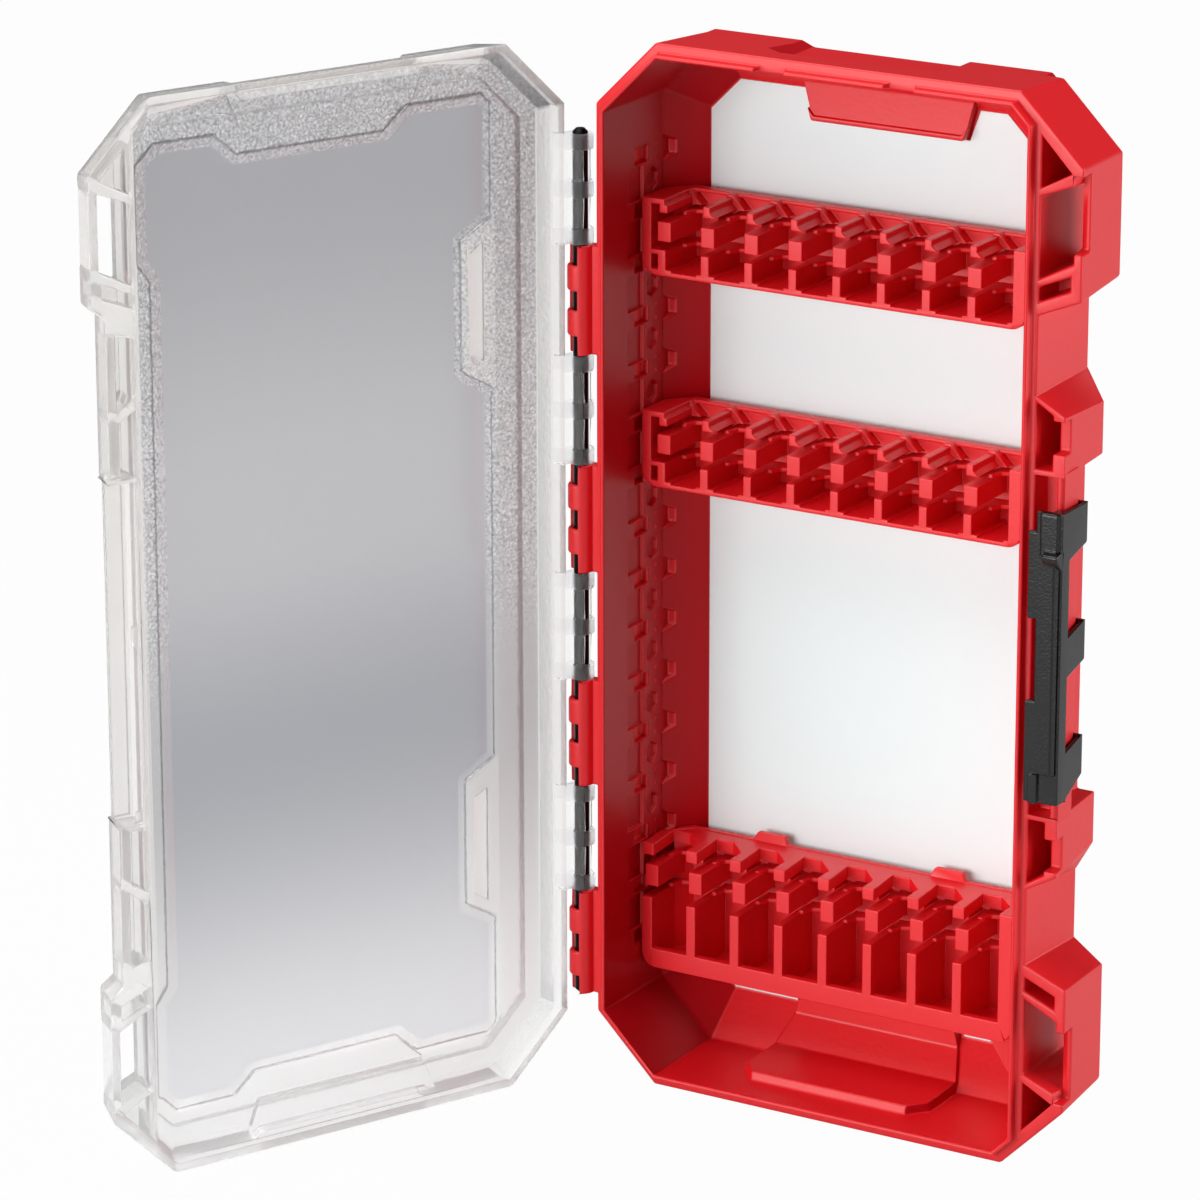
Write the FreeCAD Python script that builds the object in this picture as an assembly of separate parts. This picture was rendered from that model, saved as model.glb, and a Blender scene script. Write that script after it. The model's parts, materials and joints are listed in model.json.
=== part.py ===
"""Hinged accessory case: a moulded tray with three bit rails, a see-through lid, a pin and a slide latch.

The case stands upright and open. Every piece is drawn in the case frame: x runs from the tray's hinge
side to its latch side, y runs from the parting plane to the tray's back, and z runs up from the floor.
The lid is drawn shut, at negative y, and is then swung open about the pin.
"""
import FreeCAD, Part
import math
import os

V = FreeCAD.Vector

# Envelope of the tray
case_width = 128.4
case_height = 262.0
corner_cut = 16.3
band_depth = 23.0
band_draft = 1.7
wall = 2.2
mid_height = case_height / 2

# Inside of the tray
rim_inset = 3.5
ring_right = case_width - 13.5
tub_right = ring_right - 7.0
skin_face = ring_right + 2.7
skin_flare = 1.6
shoulder_start = 7.5
shoulder_end = 14.3
straight_depth = 25.5
card_plane = 34.0
card_thickness = 0.5
bevel_run_x = 8.1
bevel_run_z = 11.2
panel_cut = 8.1
tub_cut = 1.5
panel_plane = card_plane + card_thickness
tray_back = panel_plane + wall

# Tongue round the rim
tongue_width = 1.1
tongue_height = 2.4
tongue_gap = 0.3
notch_width = 7.4
notch_spacing = 34.0
notch_offset = 0.6

# Inner pad and card tab at the top and bottom, with the hand recess outside
pad_centre = case_width / 2 - 3.2
pad_half = 25.3
pad_front = 7.0
pad_shoulder = 13.0
pad_rise = 2.3
pad_taper = 6.0
tab_half_root = 22.8
tab_half_tip = 20.3
tab_plane = 31.7
tab_height = 22.2
recess_centre = case_width / 2 - 1.3
recess_half = 24.8
recess_half_floor = 19.7
recess_front = 8.2
recess_depth = 3.4

# Corner bumpers and latch stops on the free side
bumper_end = case_height - 47.4
bumper_foot = bumper_end - 4.4
stop_face = case_width - 3.2
stop_top = mid_height + 56.0
stop_foot = stop_top + 4.2
stop_wall = 3.4
bay_top = mid_height + 41.5
bay_bottom = case_height - bay_top
pocket_face = case_width - 2.4
pocket_depth = 19.5
pocket_slope = 3.3
notch_back = 4.7
rib = 2.0
hollow_rib = 2.0
hollow_count = 6

# Comb of rail seats on the side walls
comb_pitch = 13.2
comb_pocket = 8.8
comb_gap = 4.4
comb_rows = 8
comb_depth = 1.1
comb_front = 9.4
comb_back = 21.0
comb_pocket_back = 16.6
comb_snap_front = 12.6
comb_snap_back = 18.6
comb_snap_depth = 0.8
comb_round = 2.7
comb_round_y = 20.6
comb_scallop = 3.3
comb_scallop_y = 25.2

# Hinge
pin_radius = 1.85
pin_clearance = 0.05
pin_point = 0.8
pin_bottom = 20.6
pin_top = case_height - 22.9
hinge_x = -4.2
knuckle_radius = 3.2
knuckle_gap = 0.3
group_pairs = 4
hinge_top = pin_top - 0.9
group_height = (hinge_top - pin_bottom) / (2 * group_pairs)
ring_height = 3.9
band_height = 6.3
window_edge = 0.9
open_angle = 115.1

# Lid
lid_depth = 9.5
lid_draft_x = 2.5
lid_draft_z = 1.45
lid_rim = 2.1
lid_side_wall = 1.2
lid_border_depth = 4.85
lid_step_depth = 2.7
lid_border_inset = 5.4
lid_panel_depth = 6.3
lid_wall = 1.9
lid_step_run = 2.6
lid_bump_face = case_width - 3.5
lid_ledge_face = case_width - 5.8
lid_ledge_depth = 6.4
lid_ledge_thickness = 1.8
lug_height = 5.0
lug_reach = 2.0
lug_thickness = 1.6

# Sunk panel of the lid, measured in from the lid's edges or out from its middle
panel_hinge_side = 19.2
panel_free_side = 18.3
panel_free_step = 3.3
panel_end = 15.2
panel_end_cut = 3.4
channel_centre = case_width / 2 + 1.7
channel_half = 20.8
channel_slope = 5.8
channel_end = 20.4
pad_reach = 8.5
pad_low = 50.2
pad_high = 84.6
pad_slope = 4.9
pad_slot_x = 19.9
pad_slot_width = 4.0
pad_slot_depth = 1.0
lid_recess_half = 22.0
lid_recess_front = 4.3
lid_recess_depth = 3.0
lid_bulge_front = 2.75
lid_bulge_wall = 1.7
lid_saddle_half = 23.2
lid_saddle_end = 11.4
lid_saddle_rise = 1.4

# Slide latch and the rail that it rides on
latch_bottom = mid_height - 36.8
latch_top = mid_height + 34.2
latch_wall = 1.4
latch_gap = 0.3
bar_outer = stop_face
bar_inner = bar_outer - 2.3
bar_front = 0.5
latch_face = bar_outer + latch_gap + latch_wall
latch_front = -3.6
grip_front = -5.2
grip_left = latch_face - 5.3
grip_lip_x = latch_face - 4.0
grip_lip_z = latch_top - 10.6
lip_wide = skin_face + 0.4
lip_narrow = lip_wide + 2.1
wrap_height = 9.9
bar_back = 7.6
web_front = 5.6

# Bit rails
rail_gap = 0.35
rail_left = rim_inset + rail_gap
rail_right = tub_right - 1.15
rail_front = 15.0
rail_back = 31.5
nub_gap = 0.15
plate = 1.6
rail_corner = 4.0
end_wall = 2.5
slot_count = 8
ledge_radius = 3.8
ledge_thickness = 1.1
bit_axis = 23.2

# Two upper rails
upper_height = 19.0
upper_first = 8.1
upper_end_wall = 3.45
upper_pitch = (rail_right - upper_end_wall - upper_first) / slot_count
upper_divider = 2.2
upper_divider_height = 6.4
upper_bar_width = 3.7
upper_bar_low = 8.5
upper_bar_high = 13.4
upper_finger_high = upper_height - 0.7
upper_finger_low = upper_finger_high - 2.8
upper_rail_z = mid_height + 70.3
upper_ledges = (5.3, 13.4)
floor_dip = 0.5
rail_spacing = 4 * comb_pitch

# Tall lower rail
tall_height = 32.8
tall_left_wall = 2.9
tall_first = 16.6
tall_last_wall = 3.85
tall_pitch = (rail_right - tall_last_wall - tall_first) / (slot_count - 1)
tall_divider = 2.5
tall_divider_height = 18.0
tall_end_wall = 3.0
tall_lip = 5.0
tall_bar_width = 3.7
tall_bar_low = 21.4
tall_bar_high = 27.0
tall_plate_top = tall_height - 0.2
tall_finger_low = tall_plate_top - 3.2
tall_finger_width = 3.2
tall_finger_flare = 5.6
tall_notch_depth = 11.0
tall_ledges = (18.6, 26.4)
tall_rail_z = 24.0


def box(x0, x1, y0, y1, z0, z1):
    """Straight block between two corners."""
    return Part.makeBox(x1 - x0, y1 - y0, z1 - z0, V(x0, y0, z0))


def ring_at(points, y):
    """Closed outline through (x, z) points at depth y."""
    corners = [V(x, y, z) for x, z in points]
    return Part.makePolygon(corners + corners[:1])


def front_prism(points, y0, y1):
    """Prism of a front outline (x, z) between two depths."""
    return Part.Face(ring_at(points, y0)).extrude(V(0, y1 - y0, 0))


def plan_ring(points, z):
    """Closed outline through (x, y) points at height z."""
    corners = [V(x, y, z) for x, y in points]
    return Part.makePolygon(corners + corners[:1])


def plan_prism(points, z0, z1):
    """Prism of a plan outline (x, y) between two heights."""
    return Part.Face(plan_ring(points, z0)).extrude(V(0, 0, z1 - z0))


def side_prism(points, x0, x1):
    """Prism of a side outline (y, z) between two widths."""
    corners = [V(x0, y, z) for y, z in points]
    return Part.Face(Part.makePolygon(corners + corners[:1])).extrude(V(x1 - x0, 0, 0))


def stack(sections):
    """Ruled solid through front outlines given as (y, points)."""
    return Part.makeLoft([ring_at(points, y) for y, points in sections], True, True)


def mirrored(shape):
    """The same shape at the other end of the case."""
    return shape.mirror(V(0, 0, mid_height), V(0, 0, 1))


def both_ends(shapes):
    """Shapes of the upper half with their mirror images in the lower half."""
    return shapes + [mirrored(shape) for shape in shapes]


def octagon(left, right, inset, cut_right=None):
    """Front outline inset from floor and top, its cut corners parallel to the tray's."""
    high = case_height - inset
    cut_left = corner_cut - left + 0.414 * inset
    if cut_right is None:
        cut_right = corner_cut - (case_width - right) + 0.414 * inset
    return [(left + cut_left, inset), (right - cut_right, inset), (right, inset + cut_right),
            (right, high - cut_right), (right - cut_right, high), (left + cut_left, high),
            (left, high - cut_left), (left, inset + cut_left)]


def flat_octagon(left, right, inset, cut):
    """Front outline with four equal corner cuts."""
    high = case_height - inset
    return [(left + cut, inset), (right - cut, inset), (right, inset + cut), (right, high - cut),
            (right - cut, high), (left + cut, high), (left, high - cut), (left, inset + cut)]


def symmetric(upper):
    """Closed outline from its upper half, listed from the hinge side over the top to the free side."""
    return upper + [(x, case_height - z) for x, z in reversed(upper)]


# Front outlines of the pockets in a corner bumper and in a latch stop
strap_top = case_height - 20.6
strap_low = bumper_end + 8.6
lock_top = strap_low - 3.0
lock_reach = pocket_face - 0.6
corner_pocket = [(skin_face, case_height - 9.8), (lock_reach - 0.1, case_height - 17.8),
                 (skin_face, strap_top - pocket_slope + rib)]
strap_pocket = [(skin_face, strap_top - pocket_slope), (pocket_face, strap_top),
                (pocket_face, strap_low), (skin_face, strap_low - pocket_slope - 1)]
lock_pocket = [(skin_face, lock_top - pocket_slope), (lock_reach, lock_top),
               (lock_reach, lock_top - 3.4), (skin_face, lock_top - 3.4 - pocket_slope)]
stop_pocket = [(skin_face, stop_top + 2.6), (stop_face - stop_wall, stop_top),
               (stop_face - stop_wall, bay_top + 1.3), (skin_face, bay_top + 1.3)]


def band_outline(inset, flare):
    """Outline of the tray band at one depth, with its bumpers and latch stops."""
    right = case_width - inset
    top = case_height - inset
    cut = corner_cut - 0.586 * inset
    skin = skin_face + flare
    return symmetric([
        (inset, top - cut), (inset + cut, top), (right - cut, top), (right, top - cut),
        (right, bumper_end + 0.6 * inset), (skin, bumper_foot), (skin, stop_foot + flare),
        (stop_face - inset, stop_top - inset), (stop_face - inset, bay_top), (skin, bay_top)])


def tray_cavity():
    """Space inside the tray: a rim, a shoulder on the latch side, straight walls and a bevel."""
    start = rim_inset
    deep_x = rim_inset + bevel_run_x
    deep_z = rim_inset + bevel_run_z
    return stack([
        (-tongue_height - 1, octagon(start, ring_right, start)),
        (shoulder_start, octagon(start, ring_right, start)),
        (shoulder_end, octagon(start, tub_right, start, tub_cut)),
        (straight_depth, octagon(start, tub_right, start, tub_cut)),
        (panel_plane, flat_octagon(deep_x, tub_right - bevel_run_x, deep_z, panel_cut))])


def tray_outside():
    """Bumper band with the bevelled pan behind it."""
    band = stack([(0, band_outline(0, 0)), (band_depth, band_outline(band_draft, skin_flare))])
    run = panel_plane - straight_depth
    slope_x = bevel_run_x / run
    slope_z = bevel_run_z / run
    back_x = rim_inset + bevel_run_x + wall * (slope_x - math.hypot(1, slope_x))
    back_z = rim_inset + bevel_run_z + wall * (slope_z - math.hypot(1, slope_z))
    lead = straight_depth + 0.65 * wall
    pan_right = tub_right + wall
    side = octagon(band_draft, pan_right, band_draft, tub_cut + wall)
    back = flat_octagon(back_x, pan_right - back_x + band_draft, back_z, panel_cut + 0.4 * wall)
    pan = stack([(band_depth - 4, side), (lead, side), (tray_back, back)])
    return band.fuse(pan)


def tongue():
    """Raised tongue round the rim, notched twice at the top."""
    outer = octagon(rim_inset - tongue_width, ring_right + tongue_width, rim_inset - tongue_width)
    ring = stack([(-tongue_height, outer), (wall, outer)])
    half = notch_width / 2
    for side in (-1, 1):
        x = case_width / 2 + notch_offset + side * notch_spacing / 2
        ring = ring.cut(box(x - half, x + half, -tongue_height - 1, 0, case_height - 2 * rim_inset, case_height))
    return ring


def pad_plan(half, front, shoulder, back, centre):
    """Plan outline with its two front corners cut off."""
    return [(centre - half + pad_taper, front), (centre + half - pad_taper, front),
            (centre + half, shoulder), (centre + half, back), (centre - half, back),
            (centre - half, shoulder)]


def lower_pad():
    """Raised pad on the floor that climbs the bevel and ends in the tab over the card."""
    top = rim_inset + pad_rise
    slope = (panel_plane - straight_depth) / bevel_run_z
    climb = (tab_plane - straight_depth - pad_rise * 0.3) / slope
    profile = [(pad_front, 2), (pad_front + 0.5, top), (straight_depth + 0.3 * pad_rise, top),
               (tab_plane, top + climb), (tab_plane, tab_height), (tray_back - 1, tab_height),
               (tray_back - 1, 10), (straight_depth, 2)]
    front = [(pad_centre - pad_half - 1, 0), (pad_centre - pad_half, top),
             (pad_centre - tab_half_root, top + climb), (pad_centre - tab_half_tip, tab_height),
             (pad_centre + tab_half_tip, tab_height), (pad_centre + tab_half_root, top + climb),
             (pad_centre + pad_half, top), (pad_centre + pad_half + 1, 0)]
    plan = plan_prism(pad_plan(pad_half + 1, pad_front - 1, pad_shoulder, tray_back, pad_centre),
                      0, tab_height + 1)
    body = side_prism(profile, pad_centre - 2 * pad_half, pad_centre + 2 * pad_half)
    body = body.common(front_prism(front, 0, tray_back)).common(plan)
    lip = [(pad_centre - tab_half_tip - 1.0, tab_height - 3.2), (pad_centre - tab_half_tip, tab_height),
           (pad_centre + tab_half_tip, tab_height), (pad_centre + tab_half_tip + 1.0, tab_height - 3.2),
           (pad_centre + tab_half_tip - 0.6, tab_height - 1.3), (pad_centre - tab_half_tip + 0.6, tab_height - 1.3)]
    return body.fuse(front_prism(lip, tab_plane - 0.7, tab_plane + 1))


def hand_recess():
    """Outside recess under the pad, sloped at both ends."""
    back = tray_back + 1
    floor = pad_plan(recess_half_floor, recess_front + 1, pad_shoulder, back, recess_centre)
    mouth_half = recess_half + (recess_half - recess_half_floor) / recess_depth
    mouth = pad_plan(mouth_half, recess_front - 0.3, pad_shoulder - 1, back, recess_centre)
    return Part.makeLoft([plan_ring(mouth, -1), plan_ring(floor, recess_depth)], True, True)


def hexagon(y, z, radius):
    """Six-cornered (y, z) outline with corners at the top and bottom."""
    half = radius * 0.87
    return [(y, z - radius), (y + half, z - radius / 2), (y + half, z + radius / 2),
            (y, z + radius), (y - half, z + radius / 2), (y - half, z - radius / 2)]


def comb_pockets():
    """Cutters for the rail seats: pockets, snap holes and round notches on the left, grooves on the right."""
    cutters = []
    left = rim_inset - comb_depth
    inside = rim_inset + 1
    for row in range(1 - comb_rows, comb_rows):
        z = mid_height + comb_pitch * row
        half = comb_pocket / 2
        cutters.append(side_prism([(comb_front, z - half), (comb_pocket_back, z - half), (comb_pocket_back, z + half),
                                   (comb_front, z + half)], left, inside))
        cutters.append(side_prism(hexagon(comb_round_y, z, comb_round), left, inside))
    for row in range(comb_rows):
        z = mid_height + comb_pitch * (row + 0.5)
        half = comb_gap / 2
        snap = side_prism([(comb_snap_front, z - half + 0.3), (comb_snap_back, z - half + 0.3),
                           (comb_snap_back, z + half - 0.3), (comb_snap_front, z + half - 0.3)],
                          left - comb_snap_depth, inside)
        scallop = side_prism(hexagon(comb_scallop_y, z, comb_scallop), rim_inset - 0.1, inside + 3)
        groove = box(tub_right - 1, tub_right + comb_depth, shoulder_end - 1, comb_back, z - half, z + half)
        cutters += both_ends([snap, scallop, groove])
    return cutters


def free_side_cutters():
    """Pockets in the bumpers and latch stops, and the hollows behind the latch wall."""
    cutters = [front_prism(corner_pocket, -1, pocket_depth), front_prism(strap_pocket, -1, band_depth + 1),
               front_prism(lock_pocket, -1, pocket_depth / 2), front_prism(stop_pocket, -1, pocket_depth),
               box(pocket_face - 0.1, case_width + 1, -1, notch_back, strap_low + 2.5, strap_top + 2.3),
               box(stop_face - stop_wall - 0.1, stop_face + 1, -1, notch_back - 1, bay_top + 5.5, stop_top - 1.2)]
    cutters = both_ends(cutters)
    low = rim_inset + bevel_run_z
    span = (case_height - 2 * low) / hollow_count
    start = shoulder_end + 1.5 * wall
    for i in range(hollow_count):
        z0 = low + i * span + hollow_rib / 2
        cutters.append(box(tub_right + wall, ring_right + 0.5, start, tray_back, z0, z0 + span - hollow_rib))
    return cutters


def latch_bar():
    """Upright bar with its web, on which the latch slides."""
    bar = [(bar_inner, bar_front), (bar_outer, bar_front), (bar_outer, bar_back),
           (skin_face - 1, bar_back), (skin_face - 1, web_front), (bar_inner, web_front)]
    return plan_prism(bar, bay_bottom - 1, bay_top + 1)


def knuckles(side, first, ring_layout):
    """Hinge knuckles of one shell; side is 1 for the tray and -1 for the lid."""
    pieces = []
    for pair in range(group_pairs):
        top = hinge_top - (2 * pair + first) * group_height - knuckle_gap / 2
        bottom = top - group_height + knuckle_gap
        barrel = Part.makeCylinder(knuckle_radius, top - bottom, V(hinge_x, 0, bottom))
        web_y = sorted((0, side * knuckle_radius))
        barrel = barrel.fuse(box(hinge_x, 0.9, web_y[0], web_y[1], bottom, top))
        open_y = sorted((-side * (knuckle_radius + 1), side * 0.3))
        edge = hinge_x + window_edge
        for low, high in ring_layout(bottom, top):
            barrel = barrel.cut(box(hinge_x - knuckle_radius - 1, edge, open_y[0], open_y[1], low, high))
        pieces.append(barrel)
    return pieces


def lid_windows(bottom, top):
    """Two windows between three rings."""
    middle = (bottom + top) / 2
    half_ring = ring_height / 2
    return [(bottom + ring_height, middle - half_ring), (middle + half_ring, top - ring_height)]


def tray_windows(bottom, top):
    """Three windows between two bands; the outer windows are open at the ends."""
    span = (top - bottom - 2 * band_height) / 3
    first = bottom + span
    second = first + band_height + span
    return [(bottom - 1, first), (first + band_height, second), (second + band_height, top + 1)]


def pin_bore():
    """Bore for the pin through all knuckles."""
    return Part.makeCylinder(pin_radius + pin_clearance, pin_top - pin_bottom + 8, V(hinge_x, 0, pin_bottom - 4))


def base_shell():
    """Tray with its tongue, pads, comb, bumpers, latch bar and half of the hinge."""
    shell = tray_outside().fuse(tongue())
    shell = shell.cut(tray_cavity())
    pad = lower_pad()
    shell = shell.multiFuse([pad, mirrored(pad), latch_bar()])
    recess = hand_recess()
    shell = shell.cut([recess, mirrored(recess)] + comb_pockets() + free_side_cutters())
    shell = shell.multiFuse(knuckles(1, 1, tray_windows))
    return shell.cut(pin_bore()).removeSplitter()


def lid_outline(inset_x, inset_z):
    """Outline of the lid at one depth."""
    right = case_width - inset_x
    top = case_height - inset_z
    bump = lid_bump_face - inset_x
    return symmetric([
        (inset_x, top - corner_cut), (inset_x + corner_cut, top), (right - corner_cut, top),
        (right, top - corner_cut), (right, bumper_end - 0.2 * inset_x), (bump, bumper_foot + 1.5),
        (bump, bay_top), (skin_face, bay_top)])


def panel_outline():
    """Sunk middle panel of the lid, stepped round the hinge pads and the hand recesses."""
    left = panel_hinge_side
    right = case_width - panel_free_side
    top = case_height - panel_end
    low = case_height - channel_end
    return symmetric([
        (left, mid_height + pad_low - pad_slope), (left + pad_reach, mid_height + pad_low),
        (left + pad_reach, mid_height + pad_high), (left, mid_height + pad_high + pad_slope),
        (left, top - 1), (left + 1, top), (channel_centre - channel_half - channel_slope, top),
        (channel_centre - channel_half, low), (channel_centre + channel_half, low),
        (channel_centre + channel_half + channel_slope, top), (right - panel_end_cut, top),
        (right, top - panel_end_cut), (right, top - 24.4), (right - panel_free_step, top - 28.8)])


def pad_slot():
    """Slot in a hinge pad of the lid, slanted at both ends."""
    x0 = pad_slot_x
    x1 = pad_slot_x + pad_slot_width
    low = mid_height + pad_low + 3.4
    high = mid_height + pad_high - 1.6
    outline = [(x0, low), (x1, low + 2.2), (x1, high - 2.8), (x0, high)]
    return front_prism(outline, 0, -lid_border_depth - pad_slot_depth)


def lid_recess():
    """Hand recess in the top edge of the lid, with the bulge and the saddle that it makes inside."""
    centre = recess_centre + 0.4
    high = case_height + 1
    floor = case_height - lid_recess_depth
    half = lid_recess_half
    outline = [(centre - half, floor), (centre + half, floor), (centre + half + 4.5, high),
               (centre - half - 4.5, high)]
    cut = front_prism(outline, -lid_recess_front, -lid_depth - 1)
    low = floor - lid_bulge_wall
    bulge = front_prism([(centre - half - 1.2, low), (centre + half + 1.2, low), (centre + half + 3.4, case_height - 1.8),
                         (centre - half - 3.4, case_height - 1.8)], -lid_bulge_front, -lid_panel_depth)
    saddle_low = case_height - lid_saddle_end
    saddle = front_prism([(centre - lid_saddle_half, saddle_low), (centre + lid_saddle_half, saddle_low),
                          (centre + lid_saddle_half + 3.4, case_height - 3), (centre - lid_saddle_half - 3.4, case_height - 3)],
                         -lid_border_depth + lid_saddle_rise, -lid_panel_depth)
    return cut, [bulge, saddle]


def lid_shell():
    """Lid drawn shut, then opened about the pin."""
    shell = stack([(0, lid_outline(0, 0)), (-lid_depth, lid_outline(lid_draft_x, lid_draft_z))])
    right = skin_face - lid_side_wall
    rim = octagon(lid_rim, right, lid_rim)
    foot = octagon(lid_border_inset, right - 2.2, lid_border_inset)
    shell = shell.cut(stack([(1, rim), (-lid_step_depth, rim), (-lid_border_depth, foot)]))
    cut, bulges = lid_recess()
    shell = shell.multiFuse(both_ends(bulges)).cut(both_ends([cut, pad_slot()]))
    panel = Part.Wire(ring_at(panel_outline(), -lid_panel_depth))
    edge = panel.makeOffset2D(lid_step_run, 2)
    edge.translate(V(0, lid_panel_depth - lid_border_depth + 0.01, 0))
    shell = shell.cut(Part.makeLoft([edge, panel], True, True))
    relief = octagon(lid_border_inset + 3.2, right - 2.2, lid_border_inset + 3.2)
    back = stack([(-lid_depth - 1, relief), (-lid_border_depth - lid_wall, relief)])
    outside = Part.Face(panel.makeOffset2D(lid_step_run, 2)).extrude(V(0, -lid_wall, 0))
    shell = shell.cut(back).fuse(outside)
    pocket_end = -lid_depth + lid_wall
    pockets = [front_prism(corner_pocket, 1, pocket_end),
               front_prism(strap_pocket, 1, -lid_depth - 1),
               front_prism(lock_pocket, 1, pocket_end),
               front_prism(stop_pocket, 1, pocket_end),
               front_prism([(skin_face, bumper_foot - 3.7), (stop_face - 2.9, bumper_foot - 2.6),
                            (stop_face - 2.9, stop_top + 2.0), (skin_face, stop_top + 5.8)], 1, pocket_end)]
    shell = shell.cut(both_ends(pockets))
    ledge = box(skin_face - 1, lid_ledge_face, -lid_ledge_depth - lid_ledge_thickness, -lid_ledge_depth,
                bay_bottom - 1, bay_top + 1)
    shell = shell.fuse(ledge)
    for z in (mid_height + 1.9, mid_height - 43.4):
        lug = box(skin_face - 1, skin_face + lug_reach, -0.4 - lug_thickness, -0.4, z, z + lug_height)
        shell = shell.fuse(lug)
    shell = shell.multiFuse(knuckles(-1, 0, lid_windows)).cut(pin_bore()).removeSplitter()
    shell.rotate(V(hinge_x, 0, 0), V(0, 0, 1), -open_angle)
    return shell


def hinge_pin():
    """Wire pin with pointed-off ends."""
    length = pin_top - pin_bottom - 2 * pin_point
    pin = Part.makeCylinder(pin_radius, length, V(hinge_x, 0, pin_bottom + pin_point))
    upper = Part.makeCone(pin_radius, pin_radius - pin_point, pin_point, V(hinge_x, 0, pin_top - pin_point))
    lower = Part.makeCone(pin_radius - pin_point, pin_radius, pin_point, V(hinge_x, 0, pin_bottom))
    return pin.multiFuse([upper, lower])


def slide_latch():
    """Black latch: a channel round the bar, with catch lips, three wrap tabs, a grip ridge and a thumb lip."""
    z0 = latch_bottom
    z1 = latch_top
    inner = latch_face - latch_wall
    profile = [(lip_narrow, latch_front), (latch_face, latch_front), (latch_face, 0.6), (inner, 0.6),
               (inner, bar_front - latch_gap), (bar_inner + 0.3, bar_front - latch_gap),
               (bar_inner + 0.3, latch_front + latch_wall), (lip_narrow, latch_front + latch_wall)]
    body = plan_prism(profile, z0, z1)
    hook_front = bar_back + latch_gap
    hook_back = hook_front + latch_wall
    hook_end = lip_narrow + 0.6
    for low in (z0 + 4.4, (z0 + z1) / 2 - 2.9, z1 - wrap_height):
        high = low + wrap_height
        bottom = z0 if low < z0 + 10 else low - 2.3
        top = z1 if high > z1 - 1 else high - 2.3
        side = [(0, bottom), (hook_back, low), (hook_back, high), (0, top)]
        body = body.fuse(side_prism(side, inner, latch_face))
        body = body.fuse(box(hook_end, latch_face, hook_front, hook_back, low, high))
    for low, high in ((z0, z0 + 24.9), (z1 - 26.3, z1 - 5.0)):
        body = body.fuse(box(lip_wide, lip_narrow + 1, latch_front, latch_front + latch_wall, low, high))
    grip = [(grip_left, latch_front + 0.5), (grip_left + 1, grip_front), (latch_face - 1.4, grip_front),
            (latch_face - 0.5, latch_front + 0.5)]
    body = body.fuse(plan_prism(grip, z0 + 7.3, grip_lip_z - 0.4))
    hood = [(grip_left - 0.8, latch_front + 0.5), (grip_left, latch_front - 0.9), (latch_face - 1.2, latch_front - 0.9),
            (latch_face - 0.3, latch_front + 0.5)]
    body = body.fuse(plan_prism(hood, grip_lip_z, z1))
    foot = box(lip_wide + 1.5, grip_left + 0.3, latch_front - 0.9, latch_front + 0.3, z0, z0 + 7.3)
    lip = [(latch_front + 0.5, grip_lip_z - 3.4), (grip_front, grip_lip_z - 1.6), (grip_front - 1.4, grip_lip_z),
           (grip_front - 1.4, grip_lip_z + 1.2), (latch_front - 0.5, grip_lip_z + 1.6),
           (latch_front + 0.5, grip_lip_z + 1.6)]
    return body.fuse(foot).fuse(side_prism(lip, grip_lip_x, latch_face)).removeSplitter()


def rail_block(height, corner):
    """Outer block of a rail: rounded lower corners, and its back corners cut along the tray's bevel."""
    cut = corner * (1 - math.sqrt(0.5))
    outline = Part.Wire([
        Part.makeLine(V(rail_left, 0, height), V(rail_left, 0, corner)),
        Part.Arc(V(rail_left, 0, corner), V(rail_left + cut, 0, cut), V(rail_left + corner, 0, 0)).toShape(),
        Part.makeLine(V(rail_left + corner, 0, 0), V(rail_right - corner, 0, 0)),
        Part.Arc(V(rail_right - corner, 0, 0), V(rail_right - cut, 0, cut), V(rail_right, 0, corner)).toShape(),
        Part.makeLine(V(rail_right, 0, corner), V(rail_right, 0, height)),
        Part.makeLine(V(rail_right, 0, height), V(rail_left, 0, height))])
    return Part.Face(outline).extrude(V(0, rail_back + 1, 0)).common(rail_plan(0, 0, 0, -1, height + 3))


def rail_plan(inset_left, inset_right, inset_back, z0, z1):
    """Plan of a rail between two heights, with its back corners cut along the tray's bevel."""
    slope = bevel_run_x / (panel_plane - straight_depth)
    back = rail_back - inset_back
    skew = inset_back * math.hypot(1, slope)
    left = rail_left + inset_left
    right = rail_right - inset_right
    turn_left = straight_depth - rail_gap + (inset_left - skew) / slope
    turn_right = straight_depth - rail_gap + (inset_right - skew) / slope
    front = rail_front - (1 if inset_back else 0)
    outline = [(left, front), (right, front), (right, turn_right),
               (right - (back - turn_right) * slope, back), (left + (back - turn_left) * slope, back),
               (left, turn_left)]
    return plan_prism(outline, z0, z1)


def seat_ledges(x0, x1, heights):
    """Ledges at the back of a slot, notched to seat a hexagon bit."""
    axis = (x0 + x1) / 2
    back = rail_back - plate + 0.1
    corner = 0.71 * ledge_radius
    outline = [(x0 - 0.1, bit_axis), (axis - ledge_radius, bit_axis), (axis - corner, bit_axis + corner),
               (axis, bit_axis + ledge_radius), (axis + corner, bit_axis + corner),
               (axis + ledge_radius, bit_axis), (x1 + 0.1, bit_axis), (x1 + 0.1, back), (x0 - 0.1, back)]
    return [plan_prism(outline, z, z + ledge_thickness) for z in heights]


def end_nubs(offsets, left_height):
    """Nubs at both ends that sit in the comb's gaps."""
    half = comb_gap / 2 - 0.4
    nubs = []
    for z in offsets:
        if z < left_height - half:
            nubs.append(box(rim_inset + nub_gap, rail_left + 0.5, rail_front + 0.6, comb_snap_back - 0.6,
                            z - half, z + half))
        nubs.append(box(rail_right - 0.5, tub_right + comb_depth - 0.3, rail_front + 0.6, comb_back - 0.8,
                        z - half, z + half))
    return nubs


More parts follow.
